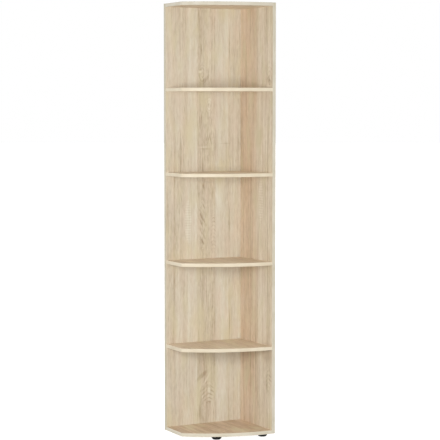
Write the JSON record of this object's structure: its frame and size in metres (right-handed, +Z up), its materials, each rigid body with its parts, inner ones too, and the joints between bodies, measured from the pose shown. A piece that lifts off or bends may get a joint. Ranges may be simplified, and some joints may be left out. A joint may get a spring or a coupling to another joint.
{
  "type": "shelf end unit",
  "caption": "Tall open corner bookcase: full-height back and side panels, level boards with a curved front, small round feet. It closes the end of a row of cabinets.",
  "frame": {"origin": "on the floor under the middle of the unit's footprint", "axes": "+X from the free left end towards the side panel, +Y from the open front towards the back panel, +Z up"},
  "size_m": [0.416, 0.32, 2.016],
  "materials": {
    "oak_board": "satin, light oak decor",
    "edge_band": "satin, pale oak decor edging",
    "foot_plastic": "moulded, satin black",
    "screw_steel": "zinc plated"
  },
  "bodies": {
    "root": {"back_panel": "oak_board", "side_panel": "oak_board", "bottom_board": "oak_board", "shelf_1": "oak_board", "shelf_2": "oak_board", "shelf_3": "oak_board", "shelf_4": "oak_board", "top_board": "oak_board", "bottom_board_edge_band": "edge_band", "shelf_1_edge_band": "edge_band", "shelf_2_edge_band": "edge_band", "shelf_3_edge_band": "edge_band", "shelf_4_edge_band": "edge_band", "top_board_edge_band": "edge_band", "side_panel_front_band": "edge_band", "side_panel_top_band": "edge_band", "back_panel_left_band": "edge_band", "back_panel_top_band": "edge_band", "foot_front_left": "foot_plastic", "foot_front_right": "foot_plastic", "foot_rear_left": "foot_plastic", "foot_rear_right": "foot_plastic", "side_screw_bottom_board_front": "screw_steel", "side_screw_bottom_board_rear": "screw_steel", "side_screw_shelf_1_front": "screw_steel", "side_screw_shelf_1_rear": "screw_steel", "side_screw_shelf_2_front": "screw_steel", "side_screw_shelf_2_rear": "screw_steel", "side_screw_shelf_3_front": "screw_steel", "side_screw_shelf_3_rear": "screw_steel", "side_screw_shelf_4_front": "screw_steel", "side_screw_shelf_4_rear": "screw_steel", "side_screw_top_board_front": "screw_steel", "side_screw_top_board_rear": "screw_steel", "back_screw_bottom_board_left": "screw_steel", "back_screw_bottom_board_right": "screw_steel", "back_screw_shelf_1_left": "screw_steel", "back_screw_shelf_1_right": "screw_steel", "back_screw_shelf_2_left": "screw_steel", "back_screw_shelf_2_right": "screw_steel", "back_screw_shelf_3_left": "screw_steel", "back_screw_shelf_3_right": "screw_steel", "back_screw_shelf_4_left": "screw_steel", "back_screw_shelf_4_right": "screw_steel", "back_screw_top_board_left": "screw_steel", "back_screw_top_board_right": "screw_steel", "corner_screw_1": "screw_steel", "corner_screw_2": "screw_steel", "corner_screw_3": "screw_steel", "corner_screw_4": "screw_steel", "corner_screw_5": "screw_steel", "foot_screw_front_left": "screw_steel", "foot_screw_front_right": "screw_steel", "foot_screw_rear_left": "screw_steel", "foot_screw_rear_right": "screw_steel"}
  },
  "joints": []
}
